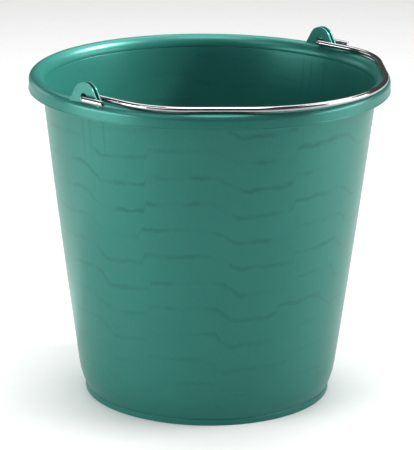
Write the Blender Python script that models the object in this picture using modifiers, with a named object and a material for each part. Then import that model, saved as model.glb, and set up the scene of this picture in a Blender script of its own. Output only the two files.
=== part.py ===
"""A stable feed bucket: a moulded plastic pail with a foot ring, a rolled rim and two ears, and a
steel wire bail whose hooked ends swing in the ears.

Metres, +Z up. The origin is the middle of the foot, on the ground. The ears stand at -X and +X, and
the bail is at rest on the -Y half of the rim.
"""

import math

import bmesh
import bpy
from mathutils import Matrix, Vector

OBJECT_NAME = "feed_bucket"

# Pail body
RIM_HEIGHT = 0.2927
RIM_RADIUS = 0.160
RIM_ROLL = 0.006
RIM_OVERHANG = 0.0121
RIM_INNER_DROP = 0.0105
SKIRT_DEPTH = 0.0138
WALL = 0.002
WALL_BELLY = 0.0009
HEEL_RADIUS = 0.1164
HEEL_HEIGHT = 0.025
HEEL_TUCK = 0.0034
FOOT_RADIUS = 0.1108
FOOT_HEIGHT = 0.0055
FOOT_STEP = 0.0004
FLOOR_RECESS = 0.005
FLOOR_THICKNESS = 0.0025
FLOOR_FILLET = 0.004
EDGE_BREAK = 0.0004
HEEL_BANDS = 3
WALL_BANDS = 5
ROLL_STEPS = 5
PAIL_SEGMENTS = 64

# Ears, one piece with the rim
EAR_RISE = 0.0164
EAR_ARCH_RADIUS = 0.012
EAR_FLANK_LEAN = math.radians(30)
EAR_THICKNESS = 0.0064
EAR_SETBACK = 0.0024
EAR_ROOT = 0.0035
EAR_PLATE = 0.0020
EAR_GROOVE = 0.0030
ARCH_STEPS = 12
HOLE_CLEARANCE = 0.0010
HOLE_SEGMENTS = 32

# Bail
WIRE_RADIUS = 0.0025
ARM_CLEARANCE = 0.0016
LEG_CLEARANCE = 0.0009
HOOK_LENGTH = 0.0257
HOOK_BEND = 0.0045
BAIL_OVERHANG = 0.0028
BOW_INSET = 0.017
BOW_TURN = 45
SHOULDER_RADIUS = 0.080
BEND_STEPS = 6
BOW_SPACING = 0.011

# Gap left between two pieces that touch
TOUCH_GAP = 0.0003

# Values that follow from the ones above
HINGE_HEIGHT = RIM_HEIGHT + WIRE_RADIUS + TOUCH_GAP
HOLE_RADIUS = WIRE_RADIUS + HOLE_CLEARANCE
HOLE_HEIGHT = HINGE_HEIGHT + HOLE_CLEARANCE - TOUCH_GAP
EAR_OUTER = RIM_RADIUS - EAR_SETBACK
EAR_INNER = EAR_OUTER - EAR_THICKNESS
ARM_X = EAR_INNER - ARM_CLEARANCE - WIRE_RADIUS
LEG_X = EAR_OUTER + LEG_CLEARANCE + WIRE_RADIUS


def clear_scene():
    for scene_object in list(bpy.data.objects):
        bpy.data.objects.remove(scene_object, do_unlink=True)


def new_collection(name):
    collection = bpy.data.collections.new(name)
    bpy.context.scene.collection.children.link(collection)
    return collection


def make_material(name, colour, roughness, metallic):
    material = bpy.data.materials.new(name)
    material.use_nodes = True
    shader = material.node_tree.nodes["Principled BSDF"]
    shader.inputs["Base Color"].default_value = (*colour, 1.0)
    shader.inputs["Roughness"].default_value = roughness
    shader.inputs["Metallic"].default_value = metallic
    return material


def add_object(name, mesh, collection):
    new_object = bpy.data.objects.new(name, mesh)
    collection.objects.link(new_object)
    return new_object


def hide_helper(helper):
    helper.hide_render = True
    helper.display_type = "WIRE"


def shade_round(mesh, sharp_angle=30):
    mesh.shade_smooth()
    mesh.set_sharp_from_angle(angle=math.radians(sharp_angle))


def arc(centre_r, centre_z, reach_r, reach_z, start, end, steps):
    """Points of an elliptical arc, its angles in degrees from the +r direction towards +z."""
    points = []
    for step in range(steps + 1):
        angle = math.radians(start + (end - start) * step / steps)
        points.append((centre_r + reach_r * math.cos(angle), centre_z + reach_z * math.sin(angle)))
    return points


def wall_radius(height):
    """Outside radius of the tapered wall, which bellies out slightly and tucks in at the heel."""
    top_height = RIM_HEIGHT - SKIRT_DEPTH
    top_radius = RIM_RADIUS - RIM_OVERHANG
    share = (height - HEEL_HEIGHT) / (top_height - HEEL_HEIGHT)
    radius = HEEL_RADIUS + (top_radius - HEEL_RADIUS) * share + 4 * WALL_BELLY * share * (1 - share)
    if height < HEEL_HEIGHT:
        below = (HEEL_HEIGHT - height) / (HEEL_HEIGHT - FOOT_HEIGHT)
        radius -= HEEL_TUCK * below ** 2
    return radius


def wall_heights(bottom, top):
    """Heights of the wall's rings, close together in the curved heel and wide apart above it."""
    heel = [bottom + (HEEL_HEIGHT - bottom) * step / HEEL_BANDS for step in range(HEEL_BANDS)]
    side = [HEEL_HEIGHT + (top - HEEL_HEIGHT) * step / WALL_BANDS for step in range(WALL_BANDS + 1)]
    return heel + side


def inside_profile():
    """From the middle of the floor, out along it and up the inside of the wall to the rim."""
    floor_top = FLOOR_RECESS + FLOOR_THICKNESS
    fillet_height = floor_top + FLOOR_FILLET
    fillet_radius = wall_radius(fillet_height) - WALL - FLOOR_FILLET
    points = [(0.0, floor_top)]
    points += arc(fillet_radius, fillet_height, FLOOR_FILLET, FLOOR_FILLET, -90, 0, 3)[:-1]
    for height in wall_heights(fillet_height, RIM_HEIGHT - RIM_INNER_DROP):
        points.append((wall_radius(height) - WALL, height))
    return points


def rim_profile():
    """Over the rolled rim, down its skirt, and up under it to where it meets the wall."""
    roll_centre = RIM_RADIUS - RIM_ROLL
    inner_edge = wall_radius(RIM_HEIGHT - RIM_INNER_DROP) - WALL
    inner_reach = roll_centre - inner_edge
    skirt_end = RIM_HEIGHT - SKIRT_DEPTH
    channel_edge = wall_radius(RIM_HEIGHT - RIM_INNER_DROP)
    crease_height = RIM_HEIGHT - RIM_INNER_DROP
    points = arc(roll_centre, crease_height, inner_reach, RIM_INNER_DROP, 180, 90, ROLL_STEPS)[1:]
    points += arc(roll_centre, RIM_HEIGHT - RIM_ROLL, RIM_ROLL, RIM_ROLL, 90, 0, ROLL_STEPS)[1:]
    points += [(RIM_RADIUS, skirt_end + EDGE_BREAK), (RIM_RADIUS - EDGE_BREAK, skirt_end)]
    points += [(RIM_RADIUS - WALL, skirt_end)]
    under_reach = roll_centre - channel_edge
    points += arc(roll_centre, RIM_HEIGHT - RIM_ROLL, RIM_ROLL - WALL, RIM_ROLL - WALL, 0, 90, 3)
    points += arc(roll_centre, crease_height, under_reach, RIM_INNER_DROP - WALL, 90, 180, 4)[1:]
    return points


def outside_profile():
    """Down the outside of the wall and the foot ring, and in along the recessed underside."""
    points = []
    for height in reversed(wall_heights(FOOT_HEIGHT, RIM_HEIGHT - SKIRT_DEPTH)):
        points.append((wall_radius(height), height))
    points[-1] = (FOOT_RADIUS - FOOT_STEP, FOOT_HEIGHT)
    points += [(FOOT_RADIUS, FOOT_HEIGHT - FOOT_STEP), (FOOT_RADIUS, EDGE_BREAK)]
    points += [(FOOT_RADIUS - EDGE_BREAK, 0.0), (FOOT_RADIUS - WALL, 0.0)]
    points += [(FOOT_RADIUS - WALL, FLOOR_RECESS), (0.0, FLOOR_RECESS)]
    return points


def make_pail(collection, material):
    """The tub as one profile turned about Z. The ears are joined to it afterwards."""
    profile = inside_profile() + rim_profile() + outside_profile()
    mesh = bpy.data.meshes.new("bucket")
    edges = [(index, index + 1) for index in range(len(profile) - 1)]
    mesh.from_pydata([(radius, 0.0, height) for radius, height in profile], edges, [])
    mesh.materials.append(material)
    pail = add_object("bucket", mesh, collection)
    turn = pail.modifiers.new("turn", "SCREW")
    turn.steps = PAIL_SEGMENTS
    turn.render_steps = PAIL_SEGMENTS
    turn.use_merge_vertices = True
    turn.merge_threshold = 0.00005
    turn.use_smooth_shade = True
    return pail


def ear_outline(inset):
    """The ear seen along X: a round arch on two leaning flanks that run down into the rim."""
    radius = EAR_ARCH_RADIUS - inset
    centre = RIM_HEIGHT + EAR_RISE - EAR_ARCH_RADIUS
    root = RIM_HEIGHT - EAR_ROOT
    lean = math.degrees(EAR_FLANK_LEAN)
    top = arc(0.0, centre, radius, radius, lean, 180 - lean, ARCH_STEPS)
    shoulder_y, shoulder_z = top[0]
    root_y = shoulder_y + (shoulder_z - root) * math.tan(EAR_FLANK_LEAN)
    return [(root_y, root)] + top + [(-root_y, root)]


def ear_slab(name, outline, near_x, far_x, collection):
    """A flat outline in the YZ plane, as thick as the distance from near_x to far_x."""
    curve = bpy.data.curves.new(name, "CURVE")
    curve.dimensions = "2D"
    curve.fill_mode = "BOTH"
    curve.extrude = abs(far_x - near_x) / 2
    spline = curve.splines.new("POLY")
    spline.points.add(len(outline) - 1)
    for point, (along_y, along_z) in zip(spline.points, outline):
        point.co = (along_y, along_z, 0.0, 1.0)
    spline.use_cyclic_u = True
    drawn = add_object(name + "_curve", curve, collection)
    drawn.matrix_world = Matrix.Translation(((near_x + far_x) / 2, 0.0, 0.0)) @ Matrix(
        ((0, 0, 1, 0), (1, 0, 0, 0), (0, 1, 0, 0), (0, 0, 0, 1))
    )
    return curve_to_mesh_object(drawn, name, collection)


def curve_to_mesh_object(drawn, name, collection):
    """A mesh object in the curve's place, with its caps welded and its faces pointing out."""
    bpy.context.view_layer.update()
    graph = bpy.context.evaluated_depsgraph_get()
    mesh = bpy.data.meshes.new_from_object(drawn.evaluated_get(graph))
    work = bmesh.new()
    work.from_mesh(mesh)
    bmesh.ops.remove_doubles(work, verts=work.verts, dist=0.00001)
    bmesh.ops.recalc_face_normals(work, faces=work.faces)
    work.to_mesh(mesh)
    work.free()
    solid = add_object(name, mesh, collection)
    solid.matrix_world = drawn.matrix_world
    bpy.data.objects.remove(drawn, do_unlink=True)
    return solid


def add_boolean(target, other, operation):
    cut = target.modifiers.new(operation.lower() + "_" + other.name, "BOOLEAN")
    cut.operation = operation
    cut.solver = "EXACT"
    cut.object = other


def make_ear(pail, side, label, cutters):
    """Two thin plates with a web between them, bored for the wire, joined to the rim's crest."""
    outer_plate = side * (EAR_OUTER - EAR_PLATE)
    inner_plate = side * (EAR_INNER + EAR_PLATE)
    overlap = side * EAR_PLATE / 2
    ear = ear_slab("ear_" + label, ear_outline(0.0), side * EAR_OUTER, outer_plate, cutters)
    inner = ear_slab("ear_inner_" + label, ear_outline(0.0), side * EAR_INNER, inner_plate, cutters)
    web = ear_slab(
        "ear_web_" + label, ear_outline(EAR_GROOVE), inner_plate - overlap, outer_plate + overlap, cutters
    )
    bore = make_bore(label, side, cutters)
    add_boolean(ear, web, "UNION")
    add_boolean(ear, inner, "UNION")
    add_boolean(pail, ear, "UNION")
    add_boolean(pail, bore, "DIFFERENCE")
    for helper in (ear, inner, web, bore):
        hide_helper(helper)


def make_bore(label, side, cutters):
    """The cutter of the round hole that the wire passes through, along X."""
    mesh = bpy.data.meshes.new("bore_" + label)
    work = bmesh.new()
    bmesh.ops.create_cone(
        work,
        cap_ends=True,
        segments=HOLE_SEGMENTS,
        radius1=HOLE_RADIUS,
        radius2=HOLE_RADIUS,
        depth=EAR_THICKNESS * 2,
    )
    work.to_mesh(mesh)
    work.free()
    bore = add_object("bore_" + label, mesh, cutters)
    bore.rotation_euler = (0.0, math.pi / 2, 0.0)
    bore.location = (side * (EAR_OUTER + EAR_INNER) / 2, 0.0, HOLE_HEIGHT)
    return bore


def bail_half():
    """The +X half of the wire's middle line as (x, y) from the cut end of the hook to the far end."""
    points = [(LEG_X, -HOOK_LENGTH)]
    points += arc(LEG_X - HOOK_BEND, -HOOK_BEND, HOOK_BEND, HOOK_BEND, 0, 90, BEND_STEPS)
    points += arc(ARM_X + HOOK_BEND, -HOOK_BEND, HOOK_BEND, HOOK_BEND, 90, 180, BEND_STEPS)
    reach = RIM_RADIUS + BAIL_OVERHANG
    bow_radius = ARM_X - BOW_INSET
    across = math.cos(math.radians(BOW_TURN))
    along = math.sin(math.radians(BOW_TURN))
    side_length = (ARM_X - bow_radius * along - SHOULDER_RADIUS * (1 - along)) / across
    bow_centre = -reach + bow_radius
    shoulder_x = ARM_X - SHOULDER_RADIUS
    shoulder_y = bow_centre - bow_radius * across + side_length * along + SHOULDER_RADIUS * across
    steps = math.ceil(SHOULDER_RADIUS * math.radians(90 - BOW_TURN) / BOW_SPACING)
    points += arc(shoulder_x, shoulder_y, SHOULDER_RADIUS, SHOULDER_RADIUS, 0, BOW_TURN - 90, steps)
    steps = math.ceil(bow_radius * math.radians(BOW_TURN) / BOW_SPACING)
    points += arc(0.0, bow_centre, bow_radius, bow_radius, BOW_TURN - 90, -90, steps)
    return points


def make_bail(collection, material):
    """One bent wire. Its origin is on the line through both ears' holes, which it swings about."""
    half = bail_half()
    route = half + [(-x, y) for x, y in reversed(half[:-1])]
    curve = bpy.data.curves.new("bail", "CURVE")
    curve.dimensions = "3D"
    curve.bevel_depth = WIRE_RADIUS
    curve.bevel_resolution = 4
    curve.use_fill_caps = True
    spline = curve.splines.new("POLY")
    spline.points.add(len(route) - 1)
    for point, (x, y) in zip(spline.points, route):
        point.co = (x, y, 0.0, 1.0)
    curve.materials.append(material)
    drawn = add_object("bail_curve", curve, collection)
    drawn.location = Vector((0.0, 0.0, HINGE_HEIGHT))
    bail = curve_to_mesh_object(drawn, "bail", collection)
    shade_round(bail.data)
    return bail


def build():
    clear_scene()
    parts = new_collection(OBJECT_NAME)
    cutters = new_collection(OBJECT_NAME + "_cutters")
    plastic = make_material("green_plastic", (0.040, 0.220, 0.175), 0.32, 0.0)
    steel = make_material("bright_steel", (0.62, 0.62, 0.63), 0.16, 1.0)
    pail = make_pail(parts, plastic)
    make_ear(pail, 1, "right", cutters)
    make_ear(pail, -1, "left", cutters)
    make_bail(parts, steel)


build()
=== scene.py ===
import math

import bpy
from mathutils import Matrix, Vector


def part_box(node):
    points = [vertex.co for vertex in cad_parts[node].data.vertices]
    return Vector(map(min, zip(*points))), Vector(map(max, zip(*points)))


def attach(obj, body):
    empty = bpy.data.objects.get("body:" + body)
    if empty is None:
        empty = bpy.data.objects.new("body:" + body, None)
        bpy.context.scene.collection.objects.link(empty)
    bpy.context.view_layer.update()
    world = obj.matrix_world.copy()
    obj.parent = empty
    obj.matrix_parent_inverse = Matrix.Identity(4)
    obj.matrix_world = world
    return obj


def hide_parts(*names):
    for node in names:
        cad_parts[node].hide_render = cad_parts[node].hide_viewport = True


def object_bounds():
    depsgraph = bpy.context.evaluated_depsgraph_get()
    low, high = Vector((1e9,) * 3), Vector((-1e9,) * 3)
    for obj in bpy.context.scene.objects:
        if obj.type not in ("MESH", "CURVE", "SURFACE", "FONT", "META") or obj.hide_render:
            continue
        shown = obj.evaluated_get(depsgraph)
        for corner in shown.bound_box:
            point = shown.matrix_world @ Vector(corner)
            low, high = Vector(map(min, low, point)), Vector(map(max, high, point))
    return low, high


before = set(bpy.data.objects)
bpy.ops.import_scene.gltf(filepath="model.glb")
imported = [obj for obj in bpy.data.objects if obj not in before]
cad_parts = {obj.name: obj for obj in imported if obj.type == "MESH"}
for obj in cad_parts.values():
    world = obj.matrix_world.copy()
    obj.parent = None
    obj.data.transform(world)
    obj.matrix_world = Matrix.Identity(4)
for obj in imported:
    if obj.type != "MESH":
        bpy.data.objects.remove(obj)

# A stable feed bucket: a moulded plastic pail with two ears, and a steel wire bail that swings in
# them. Lengths are in metres unless a name says otherwise. The ears stand at -X and +X, and the
# bail lies at rest on the -Y half of the rim.

CAD_LOW, CAD_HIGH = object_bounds()


# ------------------------------------------------------------------------------------------------
# The pail: a tapered tub with a rolled rim and a foot ring, about 15 litres to the brim. It is
# polypropylene with a pearl pigment, injection moulded from a gate under the middle of its floor.
# ------------------------------------------------------------------------------------------------

TUB_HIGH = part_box("bucket")[1]
EAR_RISE = 0.0164
RIM_HEIGHT = TUB_HIGH.z - EAR_RISE
RIM_RADIUS = TUB_HIGH.x
RIM_ROLL = 0.006
RIM_OVERHANG = 0.0121
RIM_INNER_DROP = 0.0105
SKIRT_DEPTH = 0.0138
SKIRT_BEAD = 0.0003
CREASE_DEPTH = 0.00015
CREASE_WIDTH = 0.0008
WALL = 0.002
WALL_BELLY = 0.0009
HEEL_RADIUS = 0.1164
HEEL_HEIGHT = 0.025
HEEL_TUCK = 0.0034
FOOT_RADIUS = 0.1108
FOOT_HEIGHT = 0.0055
FOOT_STEP = 0.0004
FLOOR_RECESS = 0.005
FLOOR_THICKNESS = 0.0025
FLOOR_FILLET = 0.004
FLOOR_RING_RADIUS = 0.082
FLOOR_RING_STEP = 0.0006
GATE_RADIUS = 0.0045
GATE_DROP = 0.0009
EDGE_ROUND = 0.0005
PAIL_SIDES = 320
WALL_RING_SPACING = 0.007
FILLET_STEPS = 8
CREST_STEPS = 14
ROLL_STEPS = 12
BEAD_STEPS = 6
LINING_STEPS = 6
UNDERCUT_STEPS = 8
FOOT_STEPS = 3
GATE_STEPS = 6
PAIL_SMOOTH_ANGLE = math.radians(35)


def arc(centre, reach, start, end, steps):
    """(radius, height) points of an elliptical arc, its angles in degrees from outwards to up."""
    points = []
    for step in range(steps + 1):
        angle = math.radians(start + (end - start) * step / steps)
        radius = centre[0] + reach[0] * math.cos(angle)
        height = centre[1] + reach[1] * math.sin(angle)
        points.append((radius, height))
    return points


def wall_radius(height):
    """Outside radius of the tapered wall, which bellies out slightly and tucks in at the heel."""
    top_height = RIM_HEIGHT - SKIRT_DEPTH
    top_radius = RIM_RADIUS - RIM_OVERHANG
    share = (height - HEEL_HEIGHT) / (top_height - HEEL_HEIGHT)
    radius = HEEL_RADIUS + (top_radius - HEEL_RADIUS) * share + 4 * WALL_BELLY * share * (1 - share)
    if height < HEEL_HEIGHT:
        radius -= HEEL_TUCK * ((HEEL_HEIGHT - height) / (HEEL_HEIGHT - FOOT_HEIGHT)) ** 2
    return radius


def wall_rings(bottom, top, thickness):
    steps = math.ceil((top - bottom) / WALL_RING_SPACING)
    heights = [bottom + (top - bottom) * step / steps for step in range(steps + 1)]
    return [(wall_radius(height) - thickness, height) for height in heights]


def pull_rings(rings):
    """Extrudes the selected ring of edges through (radius, height) pairs. The first is its own."""
    radius, height = rings[0]
    for next_radius, next_height in rings[1:]:
        bpy.ops.mesh.extrude_region_move(
            TRANSFORM_OT_translate={"value": (0, 0, next_height - height)}
        )
        growth = next_radius / radius
        bpy.ops.transform.resize(value=(growth, growth, 1), center_override=(0, 0, next_height))
        radius, height = next_radius, next_height


def select_where(piece, wanted, kind="VERT"):
    """Leaves edit mode on, with only the vertices, edges or faces selected whose middle is wanted."""
    bpy.ops.object.mode_set(mode="EDIT")
    bpy.ops.mesh.select_mode(type=kind)
    bpy.ops.mesh.select_all(action="DESELECT")
    bpy.ops.object.mode_set(mode="OBJECT")
    mesh = piece.data
    if kind == "VERT":
        for vertex in mesh.vertices:
            vertex.select = wanted(vertex.co)
    elif kind == "EDGE":
        for edge in mesh.edges:
            ends = [mesh.vertices[index].co for index in edge.vertices]
            edge.select = wanted((ends[0] + ends[1]) / 2, ends[1] - ends[0])
    else:
        for face in mesh.polygons:
            face.select = wanted(face.center, face.normal)
    bpy.ops.object.mode_set(mode="EDIT")


# The rings run from the middle of the inside floor, up the inside, over the rim and down.
floor_top = FLOOR_RECESS + FLOOR_THICKNESS
floor_edge = floor_top - FLOOR_RING_STEP / 2
fillet_height = floor_edge + FLOOR_FILLET
fillet_radius = wall_radius(fillet_height) - WALL - FLOOR_FILLET
crease_top = RIM_HEIGHT - RIM_INNER_DROP
inside_rings = [(GATE_RADIUS, floor_top), (FLOOR_RING_RADIUS - FLOOR_RING_STEP, floor_top)]
inside_rings += [(FLOOR_RING_RADIUS, floor_edge)]
fillet_reach = (FLOOR_FILLET, FLOOR_FILLET)
inside_rings += arc((fillet_radius, fillet_height), fillet_reach, -90, 0, FILLET_STEPS)[:-1]
inside_rings += wall_rings(fillet_height, crease_top - CREASE_WIDTH, WALL)
inside_rings += [(wall_radius(crease_top) - WALL + CREASE_DEPTH, crease_top - CREASE_WIDTH / 2)]

roll_radius = RIM_RADIUS - RIM_ROLL
roll_height = RIM_HEIGHT - RIM_ROLL
inner_edge = wall_radius(crease_top) - WALL
skirt_end = RIM_HEIGHT - SKIRT_DEPTH
bead_height = skirt_end + 2 * SKIRT_BEAD
crest_reach = (roll_radius - inner_edge, RIM_INNER_DROP)
rim_rings = arc((roll_radius, crease_top), crest_reach, 180, 90, CREST_STEPS)
rim_rings += arc((roll_radius, roll_height), (RIM_ROLL, RIM_ROLL), 90, 0, ROLL_STEPS)[1:]
rim_rings += [(RIM_RADIUS, bead_height + 2 * SKIRT_BEAD)]
rim_rings += arc((RIM_RADIUS, bead_height), (SKIRT_BEAD, 2 * SKIRT_BEAD), 60, -90, BEAD_STEPS)
rim_rings += [(RIM_RADIUS - WALL + EDGE_ROUND, skirt_end), (RIM_RADIUS - WALL, skirt_end + EDGE_ROUND)]
lining_reach = (RIM_ROLL - WALL, RIM_ROLL - WALL)
rim_rings += arc((roll_radius, roll_height), lining_reach, 0, 90, LINING_STEPS)
under_reach = (roll_radius - wall_radius(crease_top), RIM_INNER_DROP - WALL)
rim_rings += arc((roll_radius, crease_top), under_reach, 90, 180, UNDERCUT_STEPS)[1:]

foot_inside = FOOT_RADIUS - WALL
underside = FLOOR_RECESS - FLOOR_RING_STEP / 2
outside_rings = wall_rings(FOOT_HEIGHT, skirt_end, 0)[:0:-1]
outside_rings += [(FOOT_RADIUS - FOOT_STEP, FOOT_HEIGHT), (FOOT_RADIUS, FOOT_HEIGHT - FOOT_STEP)]
foot_edge = (FOOT_RADIUS - EDGE_ROUND, EDGE_ROUND)
outside_rings += arc(foot_edge, (EDGE_ROUND, EDGE_ROUND), 0, -90, FOOT_STEPS)
outside_rings += [(foot_inside + EDGE_ROUND, 0), (foot_inside, EDGE_ROUND)]
outside_rings += [(foot_inside, FLOOR_RECESS - EDGE_ROUND), (foot_inside - EDGE_ROUND, FLOOR_RECESS)]
outside_rings += [(FLOOR_RING_RADIUS, FLOOR_RECESS), (FLOOR_RING_RADIUS - FLOOR_RING_STEP, underside)]
outside_rings += [(2 * GATE_RADIUS, underside)]
gate_rim = (2 * GATE_RADIUS, underside - GATE_DROP)
outside_rings += arc(gate_rim, (GATE_RADIUS, GATE_DROP), 90, 180, GATE_STEPS)[1:]

bpy.ops.object.select_all(action="DESELECT")
bpy.ops.mesh.primitive_circle_add(
    vertices=PAIL_SIDES, radius=GATE_RADIUS, fill_type="NOTHING", location=(0, 0, floor_top)
)
pail = bpy.context.object
pail.name = "pail"
bpy.ops.object.transform_apply()
bpy.ops.object.mode_set(mode="EDIT")
bpy.ops.mesh.select_all(action="SELECT")
pull_rings(inside_rings + rim_rings + outside_rings)
bpy.ops.mesh.edge_face_add()
bpy.ops.mesh.poke()

# The last ring closed the underside's middle. The first ring is still open on the inside's floor.
select_where(pail, lambda place: place.xy.length < 1.01 * GATE_RADIUS and place.z > 0.999 * floor_top)
bpy.ops.mesh.edge_face_add()
bpy.ops.mesh.poke()
bpy.ops.mesh.select_all(action="SELECT")
bpy.ops.mesh.normals_make_consistent(inside=False)
bpy.ops.object.mode_set(mode="OBJECT")


# ------------------------------------------------------------------------------------------------
# The ears: two arched lugs that stand on the rim's crest and carry the bail. Each is moulded in one
# with the pail, as two plates with a web between them, and is bored for the wire.
# ------------------------------------------------------------------------------------------------

EAR_ARCH_RADIUS = 0.012
EAR_FLANK_LEAN = math.radians(30)
EAR_THICKNESS = 0.0064
EAR_SETBACK = 0.0024
EAR_ROOT = 0.0045
EAR_PLATE = 0.0020
EAR_GROOVE = 0.0030
EAR_EDGE_ROUND = 0.0004
EAR_ROUND_ANGLE = math.radians(50)
EAR_SIDES = 72
HOLE_RADIUS = 0.0035
HOLE_HEIGHT = RIM_HEIGHT + HOLE_RADIUS
HOLE_SIDES = 48


def apply_modifier(piece, kind, **settings):
    """Adds a modifier with its settings and applies it."""
    bpy.ops.object.select_all(action="DESELECT")
    piece.select_set(True)
    bpy.context.view_layer.objects.active = piece
    modifier = piece.modifiers.new(kind.lower(), kind)
    for name, value in settings.items():
        setattr(modifier, name, value)
    bpy.ops.object.modifier_apply(modifier=modifier.name)


arch_height = RIM_HEIGHT + EAR_RISE - EAR_ARCH_RADIUS
root_height = RIM_HEIGHT - EAR_ROOT
flank_top = arch_height + EAR_ARCH_RADIUS * math.sin(EAR_FLANK_LEAN)
flank_height = flank_top - root_height
flank_top_reach = EAR_ARCH_RADIUS * math.cos(EAR_FLANK_LEAN)
flank_growth = 1 + flank_height * math.tan(EAR_FLANK_LEAN) / flank_top_reach
ear_middle = RIM_RADIUS - EAR_SETBACK - EAR_THICKNESS / 2

# A disc on edge gives the arch. It is cut off at the flanks' tops and drawn down into the rim.
bpy.ops.object.select_all(action="DESELECT")
bpy.ops.mesh.primitive_cylinder_add(
    vertices=EAR_SIDES,
    radius=EAR_ARCH_RADIUS,
    depth=EAR_THICKNESS,
    location=(ear_middle, 0, arch_height),
    rotation=(0, math.pi / 2, 0),
)
ear = bpy.context.object
ear.name = "ear"
bpy.ops.object.transform_apply()
bpy.ops.object.mode_set(mode="EDIT")
bpy.ops.mesh.select_all(action="SELECT")
bpy.ops.mesh.bisect(plane_co=(0, 0, flank_top), plane_no=(0, 0, 1), clear_inner=True, use_fill=True)
select_where(ear, lambda middle, normal: normal.z < -0.9, "FACE")
bpy.ops.mesh.extrude_region_move(TRANSFORM_OT_translate={"value": (0, 0, -flank_height)})
bpy.ops.transform.resize(
    value=(1, flank_growth, 1), center_override=(ear_middle, 0, root_height)
)

# The groove round the arch: the edge is split into three strips and the middle one pushed in.
web_reach = EAR_THICKNESS / 2 - EAR_PLATE
for side in (-1, 1):
    bpy.ops.mesh.select_all(action="SELECT")
    bpy.ops.mesh.bisect(plane_co=(ear_middle + side * web_reach, 0, 0), plane_no=(1, 0, 0))
select_where(
    ear,
    lambda middle, normal: abs(middle.x - ear_middle) < web_reach
    and abs(normal.x) < 0.1 and normal.z > -0.9,
    "FACE",
)
bpy.ops.mesh.extrude_region_shrink_fatten(TRANSFORM_OT_shrink_fatten={"value": -EAR_GROOVE})
bpy.ops.object.mode_set(mode="OBJECT")

# The hole for the wire, and then the mould's rounding on every sharp edge.
bpy.ops.object.select_all(action="DESELECT")
bpy.ops.mesh.primitive_cylinder_add(
    vertices=HOLE_SIDES,
    radius=HOLE_RADIUS,
    depth=2 * EAR_THICKNESS,
    location=(ear_middle, 0, HOLE_HEIGHT),
    rotation=(0, math.pi / 2, 0),
)
bore = bpy.context.object
apply_modifier(ear, "BOOLEAN", operation="DIFFERENCE", object=bore)
bpy.data.objects.remove(bore, do_unlink=True)
apply_modifier(
    ear, "BEVEL",
    width=EAR_EDGE_ROUND, segments=2, limit_method="ANGLE", angle_limit=EAR_ROUND_ANGLE,
)

# The other ear is the same one turned half round. Both are then joined to the pail.
bpy.ops.object.select_all(action="DESELECT")
ear.select_set(True)
bpy.context.view_layer.objects.active = ear
bpy.ops.object.duplicate()
left_ear = bpy.context.object
bpy.ops.transform.rotate(value=math.pi, orient_axis="Z", center_override=(0, 0, 0))
bpy.ops.object.transform_apply()
for lug in (ear, left_ear):
    apply_modifier(pail, "BOOLEAN", operation="UNION", object=lug)
    bpy.data.objects.remove(lug, do_unlink=True)
bpy.ops.object.select_all(action="DESELECT")
pail.select_set(True)
bpy.context.view_layer.objects.active = pail
bpy.ops.object.shade_smooth_by_angle(angle=PAIL_SMOOTH_ANGLE)
apply_modifier(pail, "WEIGHTED_NORMAL", keep_sharp=True)


# ------------------------------------------------------------------------------------------------
# The pail's material: polypropylene with mica pearl, straight from a polished mould. The pigment
# gives a broad coloured lustre, silvery at the edges, and dark flow marks ring the wall in waves.
# ------------------------------------------------------------------------------------------------

THIN_PEARL = "#26655c"
DENSE_PEARL = "#2a6b62"
MARK_COLOUR = "#0f4237"
PEARL_GLINT = "#cdeae2"
CLOUD_MM = 50
FLAKE_MM = 0.5
GRAIN_MM = 1.11

# Flow marks: their spacing up the wall, the height of the first, and the shape of their waves.
FLOW_SPACING = 0.024
FLOW_FIRST_HEIGHT = 0.2453
FLOW_SWING = 0.013
FLOW_RIPPLE = 0.007
FLOW_FRAY = 0.003
FLOW_SCALLOPS = 7
FLOW_TURN = 0.078
FLOW_LINE_MM = (0.3, 3.2)
FLOW_STRENGTH = 0.38
DRIFT_MM = 71.4
RIPPLE_MM = 14.3
FRAY_MM = 4.35
PATCH_MM = 31.25

# Where they are: (from, to) heights over which they wander less, grow stronger, start and stop.
WANDER_HEIGHTS = (0.05, 0.24)
STRONGER_HEIGHTS = (0.02, 0.23)
START_HEIGHTS = (0.011, 0.020)
STOP_HEIGHTS = (RIM_HEIGHT - 0.016, RIM_HEIGHT - 0.012)

# Streaks under the ears: each one's place across the ear, its width and its length.
STREAK_OFFSETS = (-0.0118, 0.004, 0.013)
STREAK_WIDTH_MM = 1.3
STREAK_LENGTH = 0.045
STREAK_REACHES = (0.120, 0.130)


def srgb(code):
    """A colour written as sRGB hex, turned linear for a shader socket."""
    channels = [int(code[start:start + 2], 16) / 255 for start in (1, 3, 5)]
    return [c / 12.92 if c <= 0.04045 else ((c + 0.055) / 1.055) ** 2.4 for c in channels] + [1.0]


def add_node(material, kind, settings=None, links=None):
    """Adds a node. Settings are its properties or its sockets' values, links its sockets' sources."""
    node = material.node_tree.nodes.new(kind)
    for name, value in (settings or {}).items():
        if isinstance(name, str) and hasattr(node, name):
            setattr(node, name, value)
        else:
            node.inputs[name].default_value = value
    for name, source in (links or {}).items():
        material.node_tree.links.new(source, node.inputs[name])
    return node


plastic = bpy.data.materials.new("pearl_polypropylene_moulded")
plastic.use_nodes = True
plastic.node_tree.nodes.remove(plastic.node_tree.nodes["Principled BSDF"])
place = add_node(plastic, "ShaderNodeTexCoord").outputs["Object"]
axes = add_node(plastic, "ShaderNodeSeparateXYZ", links={0: place}).outputs

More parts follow.
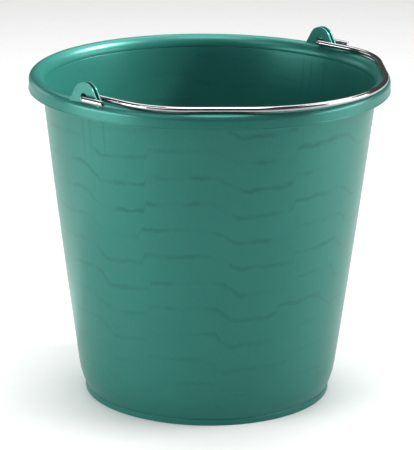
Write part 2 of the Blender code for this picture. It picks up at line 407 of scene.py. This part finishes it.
# Where a point lies in its scallop: 0 just past the step, 1 just before the next one.
angle = add_node(
    plastic, "ShaderNodeMath", {"operation": "ARCTAN2"}, {0: axes["Y"], 1: axes["X"]}
).outputs[0]
drift = add_node(
    plastic, "ShaderNodeTexNoise", {"Scale": 1000 / DRIFT_MM, "Detail": 2.0}, {"Vector": place}
).outputs["Fac"]
wander = add_node(
    plastic, "ShaderNodeMapRange",
    {"From Min": WANDER_HEIGHTS[0], "From Max": WANDER_HEIGHTS[1], "To Min": 0.9, "To Max": 0.12},
    {"Value": axes["Z"]},
).outputs[0]
centred = add_node(
    plastic, "ShaderNodeMath", {"operation": "SUBTRACT", 1: 0.5}, {0: drift}
).outputs[0]
wandered = add_node(
    plastic, "ShaderNodeMath", {"operation": "MULTIPLY"}, {0: centred, 1: wander}
).outputs[0]
turns = add_node(
    plastic, "ShaderNodeMath",
    {"operation": "MULTIPLY_ADD", 1: FLOW_SCALLOPS / (2 * math.pi), 2: FLOW_TURN},
    {0: angle},
).outputs[0]
shifted = add_node(
    plastic, "ShaderNodeMath", {"operation": "ADD"}, {0: turns, 1: wandered}
).outputs[0]
phase = add_node(plastic, "ShaderNodeMath", {"operation": "FRACT"}, {0: shifted}).outputs[0]

# A scallop's outline: a broad hump, a drop, a slow rise, and a step up to the next one.
scallop = add_node(plastic, "ShaderNodeValToRGB", links={"Fac": phase})
ramp = scallop.color_ramp
ramp.interpolation = "EASE"
ramp.elements[0].position = 0.0
ramp.elements[0].color = (0.8, 0.8, 0.8, 1)
ramp.elements[1].position = 1.0
ramp.elements[1].color = (0.8, 0.8, 0.8, 1)
for position, level in ((0.42, 1.0), (0.64, 0.02), (0.88, 0.14), (0.975, 0.22)):
    ramp.elements.new(position).color = (level, level, level, 1)

# The marks follow the scallops, with a ripple and a fray added. Taking these from the height leaves
# level bands to count, and the distance to the nearest count is the distance to a mark.
ripple = add_node(
    plastic, "ShaderNodeTexNoise", {"Scale": 1000 / RIPPLE_MM, "Detail": 3.0}, {"Vector": place}
).outputs["Fac"]
swing = add_node(
    plastic, "ShaderNodeMath",
    {"operation": "MULTIPLY", 1: FLOW_SWING}, {0: scallop.outputs["Color"]},
).outputs[0]
rippled = add_node(
    plastic, "ShaderNodeMath", {"operation": "MULTIPLY_ADD", 1: FLOW_RIPPLE}, {0: ripple, 2: swing}
).outputs[0]
fray = add_node(
    plastic, "ShaderNodeTexNoise", {"Scale": 1000 / FRAY_MM, "Detail": 2.0}, {"Vector": place}
).outputs["Fac"]
frayed = add_node(
    plastic, "ShaderNodeMath", {"operation": "MULTIPLY_ADD", 1: FLOW_FRAY}, {0: fray, 2: rippled}
).outputs[0]
levelled = add_node(
    plastic, "ShaderNodeMath", {"operation": "SUBTRACT"}, {0: axes["Z"], 1: frayed}
).outputs[0]
flow_start = (FLOW_RIPPLE + FLOW_FRAY) / 2 - FLOW_FIRST_HEIGHT
counted = add_node(
    plastic, "ShaderNodeMath",
    {"operation": "MULTIPLY_ADD", 1: 1 / FLOW_SPACING, 2: flow_start / FLOW_SPACING},
    {0: levelled},
).outputs[0]
nearest = add_node(
    plastic, "ShaderNodeMath", {"operation": "PINGPONG", 1: 0.5}, {0: counted}
).outputs[0]
line = add_node(
    plastic, "ShaderNodeMapRange",
    {
        "interpolation_type": "SMOOTHSTEP",
        "From Min": FLOW_LINE_MM[0] / 1000 / FLOW_SPACING,
        "From Max": FLOW_LINE_MM[1] / 1000 / FLOW_SPACING,
        "To Min": 1.0,
        "To Max": 0.0,
    },
    {"Value": nearest},
).outputs[0]

# The marks come and go along their length, fade towards the foot, stop below the rim, and are
# fainter inside, where the surface faces back towards the origin.
patches = add_node(
    plastic, "ShaderNodeTexNoise", {"Scale": 1000 / PATCH_MM, "Detail": 3.0}, {"Vector": place}
).outputs["Fac"]
presence = add_node(
    plastic, "ShaderNodeMapRange",
    {"From Min": 0.42, "From Max": 0.60, "To Min": 0.15, "To Max": 1.0}, {"Value": patches},
).outputs[0]
fade = add_node(
    plastic, "ShaderNodeMapRange",
    {"From Min": STRONGER_HEIGHTS[0], "From Max": STRONGER_HEIGHTS[1], "To Min": 0.35, "To Max": 1.0},
    {"Value": axes["Z"]},
).outputs[0]
below_rim = add_node(
    plastic, "ShaderNodeMapRange",
    {"From Min": STOP_HEIGHTS[0], "From Max": STOP_HEIGHTS[1], "To Min": 1.0, "To Max": 0.0},
    {"Value": axes["Z"]},
).outputs[0]
above_floor = add_node(
    plastic, "ShaderNodeMapRange",
    {"From Min": START_HEIGHTS[0], "From Max": START_HEIGHTS[1]}, {"Value": axes["Z"]},
).outputs[0]
facing = add_node(plastic, "ShaderNodeTexCoord").outputs["Normal"]
outwards = add_node(
    plastic, "ShaderNodeVectorMath", {"operation": "DOT_PRODUCT"}, {0: place, 1: facing}
).outputs["Value"]
outside = add_node(
    plastic, "ShaderNodeMapRange",
    {"From Min": -0.02, "From Max": 0.02, "To Min": 0.4, "To Max": 1.0}, {"Value": outwards},
).outputs[0]
flow = line
for share in (presence, fade, below_rim, above_floor, outside):
    flow = add_node(
        plastic, "ShaderNodeMath", {"operation": "MULTIPLY"}, {0: flow, 1: share}
    ).outputs[0]

# Under each ear, short upright dark streaks hang down the wall.
side_on = add_node(plastic, "ShaderNodeMath", {"operation": "ABSOLUTE"}, {0: axes["X"]}).outputs[0]
near_ear = add_node(
    plastic, "ShaderNodeMapRange",
    {"From Min": STREAK_REACHES[0], "From Max": STREAK_REACHES[1]}, {"Value": side_on},
).outputs[0]
streak_top = RIM_HEIGHT - SKIRT_DEPTH
hanging = add_node(
    plastic, "ShaderNodeMapRange",
    {"From Min": streak_top - STREAK_LENGTH, "From Max": streak_top - STREAK_LENGTH / 3},
    {"Value": axes["Z"]},
).outputs[0]
streaks = None
for offset in STREAK_OFFSETS:
    apart = add_node(
        plastic, "ShaderNodeMath", {"operation": "SUBTRACT", 1: offset}, {0: axes["Y"]}
    ).outputs[0]
    apart = add_node(plastic, "ShaderNodeMath", {"operation": "ABSOLUTE"}, {0: apart}).outputs[0]
    streak = add_node(
        plastic, "ShaderNodeMapRange",
        {"From Min": 0.0, "From Max": STREAK_WIDTH_MM / 1000, "To Min": 1.0, "To Max": 0.0},
        {"Value": apart},
    ).outputs[0]
    if streaks:
        streak = add_node(
            plastic, "ShaderNodeMath", {"operation": "MAXIMUM"}, {0: streaks, 1: streak}
        ).outputs[0]
    streaks = streak
for share in (near_ear, hanging, below_rim):
    streaks = add_node(
        plastic, "ShaderNodeMath", {"operation": "MULTIPLY"}, {0: streaks, 1: share}
    ).outputs[0]
marks = add_node(
    plastic, "ShaderNodeMath", {"operation": "MAXIMUM"}, {0: flow, 1: streaks}
).outputs[0]
marks = add_node(
    plastic, "ShaderNodeMath", {"operation": "MULTIPLY", 1: FLOW_STRENGTH}, {0: marks}
).outputs[0]

# Clouds of denser and thinner pearl, and single mica flakes. Real flakes are under 0.1 mm, so they
# are drawn five times as coarse to show at all.
clouds = add_node(
    plastic, "ShaderNodeTexNoise", {"Scale": 1000 / CLOUD_MM, "Detail": 4.0}, {"Vector": place}
).outputs["Fac"]
clouded = add_node(
    plastic, "ShaderNodeMix",
    {"data_type": "RGBA", 6: srgb(THIN_PEARL), 7: srgb(DENSE_PEARL)}, {0: clouds},
).outputs[2]
flakes = add_node(
    plastic, "ShaderNodeTexVoronoi", {"Scale": 1000 / FLAKE_MM, "feature": "F1"}, {"Vector": place}
).outputs["Color"]
flaked = add_node(
    plastic, "ShaderNodeMix",
    {"data_type": "RGBA", "blend_type": "SOFT_LIGHT", 0: 0.10}, {6: clouded, 7: flakes},
).outputs[2]
marked = add_node(
    plastic, "ShaderNodeMix", {"data_type": "RGBA", 7: srgb(MARK_COLOUR)}, {0: marks, 6: flaked}
).outputs[2]

# The mould's fine peel, with the marks sunk a little into it. Denser pearl is slightly less glossy.
grain = add_node(
    plastic, "ShaderNodeTexNoise", {"Scale": 1000 / GRAIN_MM, "Detail": 4.0}, {"Vector": place}
).outputs["Fac"]
gloss = add_node(
    plastic, "ShaderNodeMapRange", {"To Min": 0.28, "To Max": 0.34}, {"Value": clouds}
).outputs[0]
peel = add_node(
    plastic, "ShaderNodeBump", {"Strength": 0.04, "Distance": 0.0002}, {"Height": grain}
).outputs[0]
sunk = add_node(
    plastic, "ShaderNodeBump", {"Strength": 0.25, "Distance": 0.0003, "invert": True},
    {"Height": marks, "Normal": peel},
).outputs[0]
plastic_shader = add_node(
    plastic, "ShaderNodeBsdfPrincipled",
    {"Metallic": 0.35, "IOR": 1.49, "Specular IOR Level": 0.35, "Specular Tint": srgb(PEARL_GLINT)},
    {"Base Color": marked, "Roughness": gloss, "Normal": sunk},
)
plastic.node_tree.links.new(
    plastic_shader.outputs[0], plastic.node_tree.nodes["Material Output"].inputs["Surface"]
)
pail.data.materials.clear()
pail.data.materials.append(plastic)
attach(pail, "tub")
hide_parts("bucket")


# ------------------------------------------------------------------------------------------------
# The bail: one length of 5 mm steel wire, bright zinc plated. It is bent flat to follow the rim, and
# each end turns out through an ear and forwards again in a hook, which keeps it in its hole.
# ------------------------------------------------------------------------------------------------

WIRE_RADIUS = 0.0025
ARM_CLEARANCE = 0.0016
LEG_CLEARANCE = 0.0009
HOOK_LENGTH = 0.0257
HOOK_BEND = 0.0045
BAIL_OVERHANG = 0.0028
BOW_INSET = 0.017
BOW_TURN = math.radians(45)
SHOULDER_RADIUS = 0.080
CUT_EDGE = 0.0005
WIRE_SIDES = 32
BEND_STEPS = 14
BOW_STEP = 0.0035
STRAIGHT_STEP = 0.004
MERGE_DISTANCE = 0.00005
WIRE_SMOOTH_ANGLE = math.radians(40)
QUARTER_TURN = math.pi / 2

bail_low, bail_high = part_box("bail")
hinge_height = (bail_low.z + bail_high.z) / 2
ear_outer = RIM_RADIUS - EAR_SETBACK
leg_x = ear_outer + LEG_CLEARANCE + WIRE_RADIUS
arm_x = ear_outer - EAR_THICKNESS - ARM_CLEARANCE - WIRE_RADIUS
bow_radius = arm_x - BOW_INSET

# The bow, as seen from above: a round front, straight slanting sides, and round shoulders where
# they meet the arms.
across, along = math.cos(BOW_TURN), math.sin(BOW_TURN)
side_length = (arm_x - bow_radius * along - SHOULDER_RADIUS * (1 - along)) / across
bow_middle = -(RIM_RADIUS + BAIL_OVERHANG) + bow_radius
shoulder_x = arm_x - SHOULDER_RADIUS
shoulder_y = bow_middle - bow_radius * across + side_length * along + SHOULDER_RADIUS * across


def draw_straight(x, y):
    """Extrudes the wire's selected end by (x, y) in even steps."""
    steps = max(1, round(math.hypot(x, y) / STRAIGHT_STEP))
    for _ in range(steps):
        bpy.ops.mesh.extrude_region_move(TRANSFORM_OT_translate={"value": (x / steps, y / steps, 0)})


def bend_wire(centre_x, centre_y, turn, steps):
    """Spins the wire's selected end about an upright line. A positive turn is to the left."""
    bpy.ops.mesh.spin(
        steps=steps, angle=turn, center=(centre_x, centre_y, hinge_height), axis=(0, 0, -1)
    )


# Half of the wire is drawn from the cut end of its hook to the front of the bow, then mirrored.
bpy.ops.object.select_all(action="DESELECT")
bpy.ops.mesh.primitive_circle_add(
    vertices=WIRE_SIDES,
    radius=WIRE_RADIUS,
    fill_type="NOTHING",
    location=(leg_x, -HOOK_LENGTH, hinge_height),
    rotation=(QUARTER_TURN, 0, 0),
)
bail = bpy.context.object
bail.name = "bail_wire"
bpy.ops.object.transform_apply()
bpy.ops.object.mode_set(mode="EDIT")
bpy.ops.mesh.select_mode(type="VERT")
bpy.ops.mesh.select_all(action="SELECT")
draw_straight(0, HOOK_LENGTH - HOOK_BEND)
bend_wire(leg_x - HOOK_BEND, -HOOK_BEND, QUARTER_TURN, BEND_STEPS)
draw_straight(arm_x - leg_x + 2 * HOOK_BEND, 0)
bend_wire(arm_x + HOOK_BEND, -HOOK_BEND, QUARTER_TURN, BEND_STEPS)
draw_straight(0, shoulder_y + HOOK_BEND)
bend_wire(shoulder_x, shoulder_y, BOW_TURN - QUARTER_TURN, round(SHOULDER_RADIUS / BOW_STEP))
draw_straight(-side_length * across, -side_length * along)
bend_wire(0, bow_middle, -BOW_TURN, round(bow_radius / BOW_STEP))
bpy.ops.object.mode_set(mode="OBJECT")
apply_modifier(bail, "MIRROR", use_mirror_merge=True, merge_threshold=MERGE_DISTANCE)

# The cut ends are closed, and their edges broken by the shear.
shrink = 1 - CUT_EDGE / WIRE_RADIUS
for side in (-1, 1):
    select_where(
        bail,
        lambda end: side * end.x > leg_x - 1.1 * WIRE_RADIUS and end.y < -0.99999 * HOOK_LENGTH,
    )
    bpy.ops.mesh.edge_face_add()
    bpy.ops.mesh.extrude_region_move(TRANSFORM_OT_translate={"value": (0, -CUT_EDGE, 0)})
    bpy.ops.transform.resize(
        value=(shrink, 1, shrink), center_override=(side * leg_x, -HOOK_LENGTH - CUT_EDGE, hinge_height)
    )
bpy.ops.mesh.select_all(action="SELECT")
bpy.ops.mesh.normals_make_consistent(inside=False)
bpy.ops.object.mode_set(mode="OBJECT")
bpy.ops.object.shade_smooth_by_angle(angle=WIRE_SMOOTH_ANGLE)

# Bright zinc plate over drawn steel wire: a grey mirror with fine die lines along it, and faint
# milky patches where the plating bath left it softer. The wire lies in one plane, so lines that
# only change with height follow it. Real ones are about 0.02 mm apart. These are about five times
# as coarse, to show at all.
ZINC_DARK = "#8f8c91"
ZINC_LIGHT = "#a6a3a7"
DIE_LINES_PER_MM = 9
DIE_LINE_LENGTH_MM = 125
MILKY_PATCH_MM = 8.33

steel = bpy.data.materials.new("bright_zinc_plated_wire")
steel.use_nodes = True
steel_shader = steel.node_tree.nodes["Principled BSDF"]
steel_place = add_node(steel, "ShaderNodeTexCoord").outputs["Object"]
lengthways = 1000 / DIE_LINE_LENGTH_MM
flattened = add_node(
    steel, "ShaderNodeMapping",
    {"vector_type": "POINT", "Scale": (lengthways, lengthways, 1000 * DIE_LINES_PER_MM)},
    {"Vector": steel_place},
).outputs[0]
die_lines = add_node(
    steel, "ShaderNodeTexNoise", {"Scale": 1.0, "Detail": 3.0}, {"Vector": flattened}
).outputs["Fac"]
milky = add_node(
    steel, "ShaderNodeTexNoise", {"Scale": 1000 / MILKY_PATCH_MM, "Detail": 5.0}, {"Vector": steel_place}
).outputs["Fac"]
steel_colour = add_node(
    steel, "ShaderNodeMix",
    {"data_type": "RGBA", 6: srgb(ZINC_DARK), 7: srgb(ZINC_LIGHT)}, {0: milky},
).outputs[2]
steel_gloss = add_node(
    steel, "ShaderNodeMapRange",
    {"From Min": 0.3, "From Max": 0.7, "To Min": 0.09, "To Max": 0.16}, {"Value": milky},
).outputs[0]
scored = add_node(
    steel, "ShaderNodeBump", {"Strength": 0.12, "Distance": 0.00004}, {"Height": die_lines}
).outputs[0]
steel_shader.inputs["Metallic"].default_value = 1.0
steel.node_tree.links.new(steel_colour, steel_shader.inputs["Base Color"])
steel.node_tree.links.new(steel_gloss, steel_shader.inputs["Roughness"])
steel.node_tree.links.new(scored, steel_shader.inputs["Normal"])
bail.data.materials.clear()
bail.data.materials.append(steel)
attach(bail, "handle")
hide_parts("bail")


# ------------------------------------------------------------------------------------------------
# The studio floor: one wide sheet of matt white laminate, laid flat, which the bucket stands on.
# It is very slightly mottled, with nothing else on it.
# ------------------------------------------------------------------------------------------------

FLOOR_SIZE = 9.0
FLOOR_CELLS = 8
FLOOR_DARK = "#f2f2f2"
FLOOR_LIGHT = "#f7f7f6"
MOTTLE_MM = 25

bpy.ops.object.select_all(action="DESELECT")
bpy.ops.mesh.primitive_grid_add(
    x_subdivisions=FLOOR_CELLS, y_subdivisions=FLOOR_CELLS, size=FLOOR_SIZE, location=(0, 0, CAD_LOW.z)
)
studio_floor = bpy.context.object
studio_floor.name = "studio_floor"
bpy.ops.object.transform_apply()
laminate = bpy.data.materials.new("matt_white_laminate")
laminate.use_nodes = True
laminate_shader = laminate.node_tree.nodes["Principled BSDF"]
floor_place = add_node(laminate, "ShaderNodeTexCoord").outputs["Object"]
mottle = add_node(
    laminate, "ShaderNodeTexNoise", {"Scale": 1000 / MOTTLE_MM, "Detail": 4.0}, {"Vector": floor_place}
).outputs["Fac"]
laminate_colour = add_node(
    laminate, "ShaderNodeMix",
    {"data_type": "RGBA", 6: srgb(FLOOR_DARK), 7: srgb(FLOOR_LIGHT)}, {0: mottle},
).outputs[2]
laminate.node_tree.links.new(laminate_colour, laminate_shader.inputs["Base Color"])
laminate_shader.inputs["Roughness"].default_value = 0.7
studio_floor.data.materials.append(laminate)


# ------------------------------------------------------------------------------------------------
# The studio's light: soft boxes on both sides, behind and overhead, and one narrow lamp, in a pale
# room. Each is set by its turn round the bucket from the camera, its lift, and its distance.
# ------------------------------------------------------------------------------------------------

CAMERA_TURN = math.radians(-47.87)
LIGHT_AIM = Vector((0, 0, RIM_HEIGHT / 2))
ROOM_LIGHT = 0.11
ROOM_WALL = 0.8
ROOM_COLOUR = "#f4f5f6"


def direction(turn, lift):
    """A unit vector turned anticlockwise from -Y, as seen from above, and lifted."""
    return Vector((math.sin(turn) * math.cos(lift), -math.cos(turn) * math.cos(lift), math.sin(lift)))


def soft_box(name, turn, lift, distance, width, height, power):
    """A soft box turned this many degrees to the right of the camera, and lifted over the aim."""
    away = direction(CAMERA_TURN + math.radians(turn), math.radians(lift))
    bpy.ops.object.light_add(type="AREA", location=LIGHT_AIM + distance * away)
    light = bpy.context.object
    light.name = name
    light.rotation_euler = away.to_track_quat("Z", "Y").to_euler()
    light.data.shape = "RECTANGLE"
    light.data.size = width
    light.data.size_y = height
    light.data.energy = power


# Name, turn and lift in degrees, distance, width and height in metres, power in watts.
soft_box("left_box", -68, 6, 1.5, 1.1, 0.5, 18)
soft_box("left_rear_box", -125, 10, 1.5, 0.8, 0.5, 3)
soft_box("left_front_box", -45, 42, 1.5, 0.8, 0.6, 4)
soft_box("right_box", 88, 8, 1.5, 1.1, 0.5, 16)
soft_box("right_high_box", 88, 45, 1.5, 0.9, 0.7, 8)
soft_box("rear_box", 180, 58, 2.6, 3.0, 1.8, 54)
soft_box("top_box", 0, 80, 1.6, 0.8, 0.8, 14)

# One narrow lamp over the right of the rim lights the left of the inside.
MOUTH_LAMP_TURN = CAMERA_TURN + math.radians(100)
MOUTH_LAMP_LIFT = math.radians(38)
MOUTH_LAMP_DISTANCE = 1.5
MOUTH_LAMP_BEAM = math.radians(16)
MOUTH_LAMP_POWER = 290
MOUTH_LAMP_SIZE = 0.12
INSIDE_LEFT_TURN = CAMERA_TURN - math.radians(110)
INSIDE_LEFT_RADIUS = 0.145
INSIDE_LEFT_HEIGHT = 0.22

inside_left = INSIDE_LEFT_RADIUS * direction(INSIDE_LEFT_TURN, 0)
inside_left.z = INSIDE_LEFT_HEIGHT
lamp_away = direction(MOUTH_LAMP_TURN, MOUTH_LAMP_LIFT)
bpy.ops.object.light_add(type="SPOT", location=inside_left + MOUTH_LAMP_DISTANCE * lamp_away)
mouth_lamp = bpy.context.object
mouth_lamp.name = "mouth_lamp"
mouth_lamp.rotation_euler = lamp_away.to_track_quat("Z", "Y").to_euler()
mouth_lamp.data.energy = MOUTH_LAMP_POWER
mouth_lamp.data.spot_size = MOUTH_LAMP_BEAM
mouth_lamp.data.spot_blend = 1.0
mouth_lamp.data.shadow_soft_size = MOUTH_LAMP_SIZE

# The room's walls look pale, but throw little light back, so that the soft boxes do the modelling.
world = bpy.data.worlds.new("pale_room")
bpy.context.scene.world = world
world.use_nodes = True
world.node_tree.nodes["Background"].inputs["Color"].default_value = srgb(ROOM_COLOUR)
sight = add_node(world, "ShaderNodeLightPath").outputs["Is Camera Ray"]
room = add_node(
    world, "ShaderNodeMapRange", {"To Min": ROOM_LIGHT, "To Max": ROOM_WALL}, {"Value": sight}
).outputs[0]
world.node_tree.links.new(room, world.node_tree.nodes["Background"].inputs["Strength"])


# ------------------------------------------------------------------------------------------------
# The camera: a long lens that looks a little down on the rim, from the left of the bail's bow. It
# is rolled by half a degree, and aims at about the middle of the bucket's height.
# ------------------------------------------------------------------------------------------------

CAMERA_LIFT = math.radians(16.6)
CAMERA_ROLL = math.radians(0.57)
CAMERA_DISTANCE = 2.3
CAMERA_AIM = Vector((0, 0, 0.1505))
CAMERA_LENS_MM = 204.3
CAMERA_SENSOR_MM = 36
CAMERA_SHIFT = -0.0027

backwards = direction(CAMERA_TURN, CAMERA_LIFT)
bpy.ops.object.camera_add(location=CAMERA_AIM + CAMERA_DISTANCE * backwards)
camera = bpy.context.object
camera.name = "camera"
level = backwards.to_track_quat("Z", "Y").to_matrix()
camera.rotation_euler = (level @ Matrix.Rotation(CAMERA_ROLL, 3, "Z")).to_euler()
camera.data.lens = CAMERA_LENS_MM
camera.data.sensor_width = CAMERA_SENSOR_MM
camera.data.shift_x = CAMERA_SHIFT
bpy.context.scene.camera = camera
bpy.context.scene.view_settings.view_transform = "Standard"
